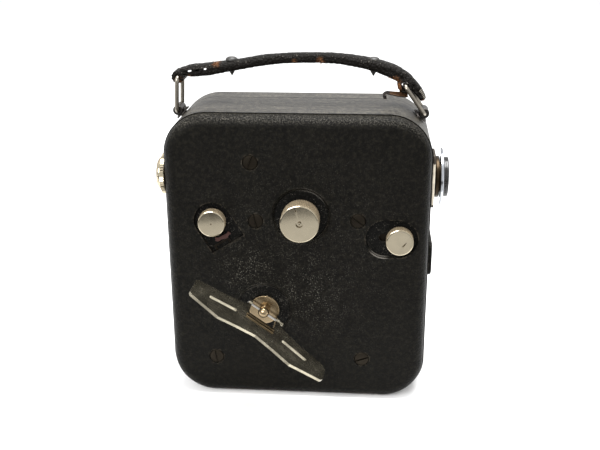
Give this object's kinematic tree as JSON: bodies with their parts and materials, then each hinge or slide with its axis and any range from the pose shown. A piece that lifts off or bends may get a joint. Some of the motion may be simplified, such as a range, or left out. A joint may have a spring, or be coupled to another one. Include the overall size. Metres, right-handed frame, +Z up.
{
  "type": "clockwork cine camera",
  "caption": "Flat leather-covered clockwork cine camera with folding winding key, knurled knobs, side lens, eyepiece finder, hinged film door and leather handle on wire links.",
  "frame": {"origin": "middle of the flat base of the case", "axes": "+Z up, +X towards the lens, -Y towards the motor side with its key and knobs, +Y towards the film door"},
  "size_m": [0.1119, 0.067, 0.1342],
  "materials": {
    "leather_covering": "thin light-alloy shell covered in fine-grained black leather",
    "strap_leather": "worn black leather",
    "dull_steel": "dull, darkened",
    "nickel_plate": "warm worn nickel plate",
    "brass": "turned, lacquered",
    "dark_brass": "dark bronzed",
    "steel": "bright, lightly oiled",
    "spring_steel": "blued",
    "black_paint": "satin black",
    "optical_glass": "polished"
  },
  "bodies": {
    "case": {"main_case": "leather_covering", "motor_cover": "leather_covering", "cover_screw_top": "dull_steel", "cover_screw_middle_left": "dull_steel", "cover_screw_middle_right": "dull_steel", "cover_screw_low_left": "dull_steel", "cover_screw_low_right": "dull_steel", "tripod_bush": "brass", "hinge_case_leaf": "black_paint", "hinge_pin": "steel", "lens_flange": "nickel_plate", "lens_barrel": "dark_brass", "lens_front_ring": "black_paint", "lens_front_glass": "optical_glass", "lens_rear_glass": "optical_glass", "finder_eyepiece": "nickel_plate", "finder_eyepiece_glass": "optical_glass", "finder_front_frame": "black_paint", "finder_front_glass": "optical_glass", "movement_plate": "brass", "click": "steel", "click_spring": "spring_steel", "film_gate": "nickel_plate", "release_spring": "spring_steel", "handle_lug_left": "dull_steel", "handle_lug_right": "dull_steel"},
    "door": {"film_door": "leather_covering", "hinge_door_leaf": "black_paint"},
    "door_catch": {"door_catch": "leather_covering"},
    "aperture_ring": {"aperture_ring": "nickel_plate"},
    "winding_arbor": {"winding_arbor": "nickel_plate", "key_pin": "steel", "ratchet_wheel": "steel"},
    "winding_key": {"winding_key": "nickel_plate"},
    "spring_barrel": {"spring_barrel": "brass", "mainspring": "spring_steel"},
    "second_arbor": {"second_pinion": "steel", "second_wheel": "brass"},
    "drive_arbor": {"drive_shaft": "steel", "drive_knob": "nickel_plate", "drive_wheel": "brass"},
    "third_arbor": {"third_pinion": "steel", "third_wheel": "brass"},
    "crank_arbor": {"crank_shaft": "steel", "crank_disc": "steel", "governor_disc": "brass", "governor_spring_upper": "spring_steel", "governor_spring_lower": "spring_steel"},
    "claw": {"claw_frame": "steel", "shutter_blade": "black_paint"},
    "release": {"release_knob": "nickel_plate", "release_slide": "steel"},
    "lock": {"lock_knob": "nickel_plate", "lock_slide": "steel"},
    "left_link": {"handle_link_left": "steel"},
    "strap": {"handle_strap": "strap_leather", "strap_rivet_left": "dull_steel", "strap_rivet_right": "dull_steel", "strap_flap": "strap_leather"},
    "right_link": {"handle_link_right": "steel"}
  },
  "joints": [
    {"name": "door_hinge", "type": "hinge", "parent": "case", "child": "door", "pos_m": [-0.0519, 0.0085, 0.058], "axis": [0, 0, 1], "range_deg": [0, 110]},
    {"name": "door_catch_slide", "type": "slide", "parent": "case", "child": "door_catch", "axis": [0, -1, 0], "range_m": [0, 0.004]},
    {"name": "aperture_turn", "type": "hinge", "parent": "case", "child": "aperture_ring", "pos_m": [0.055, 0.0085, 0.084], "axis": [1, 0, 0], "range_deg": [0, 80]},
    {"name": "key_winding", "type": "hinge", "parent": "case", "child": "winding_arbor", "pos_m": [-0.0127, -0.022, 0.0377], "axis": [0, -1, 0], "continuous": true},
    {"name": "key_fold", "type": "hinge", "parent": "winding_arbor", "child": "winding_key", "pos_m": [-0.0127, -0.024, 0.0377], "axis": [0.8141, 0, -0.5807], "range_deg": [-80, 66]},
    {"name": "drive_turn", "type": "hinge", "parent": "case", "child": "drive_arbor", "pos_m": [0.0018, -0.022, 0.0766], "axis": [0, -1, 0], "continuous": true},
    {"name": "barrel_turn", "type": "hinge", "parent": "case", "child": "spring_barrel", "pos_m": [-0.0127, -0.01, 0.0377], "axis": [0, -1, 0], "continuous": true},
    {"name": "second_turn", "type": "hinge", "parent": "case", "child": "second_arbor", "pos_m": [0.00953, -0.005, 0.056], "axis": [0, -1, 0], "continuous": true},
    {"name": "third_turn", "type": "hinge", "parent": "case", "child": "third_arbor", "pos_m": [0.0205, -0.008, 0.0723], "axis": [0, -1, 0], "continuous": true},
    {"name": "crank_turn", "type": "hinge", "parent": "case", "child": "crank_arbor", "pos_m": [0.0396, -0.008, 0.0708], "axis": [0, -1, 0], "continuous": true},
    {"name": "claw_stroke", "type": "slide", "parent": "case", "child": "claw", "axis": [0, 0, 1], "range_m": [-0.0036, 0.0036]},
    {"name": "release_press", "type": "slide", "parent": "case", "child": "release", "axis": [-1, 0, 0], "range_m": [0, 0.006], "stiffness_N_per_m": 60, "springref_m": -0.002},
    {"name": "lock_slide_travel", "type": "slide", "parent": "case", "child": "lock", "axis": [0.5299, 0, -0.848], "range_m": [0, 0.005]},
    {"name": "left_link_swing", "type": "hinge", "parent": "case", "child": "left_link", "pos_m": [-0.0469, 0, 0.1121], "axis": [0, 1, 0], "range_deg": [-12, 12]},
    {"name": "strap_swing", "type": "hinge", "parent": "left_link", "child": "strap", "pos_m": [-0.0462, 0, 0.125], "axis": [0, 1, 0], "range_deg": [-14, 14]},
    {"name": "right_link_swing", "type": "hinge", "parent": "case", "child": "right_link", "pos_m": [0.0469, 0, 0.1121], "axis": [0, 1, 0], "range_deg": [-16, 16]}
  ],
  "couplings": [
    {"joint": "second_turn", "follows": "drive_turn", "ratio": -0.375},
    {"joint": "barrel_turn", "follows": "drive_turn", "ratio": 0.075},
    {"joint": "third_turn", "follows": "drive_turn", "ratio": -3.3636},
    {"joint": "crank_turn", "follows": "drive_turn", "ratio": 11.314},
    {"joint": "strap_swing", "follows": "left_link_swing", "ratio": -1.1182},
    {"joint": "right_link_swing", "follows": "left_link_swing", "ratio": 1.2555}
  ]
}
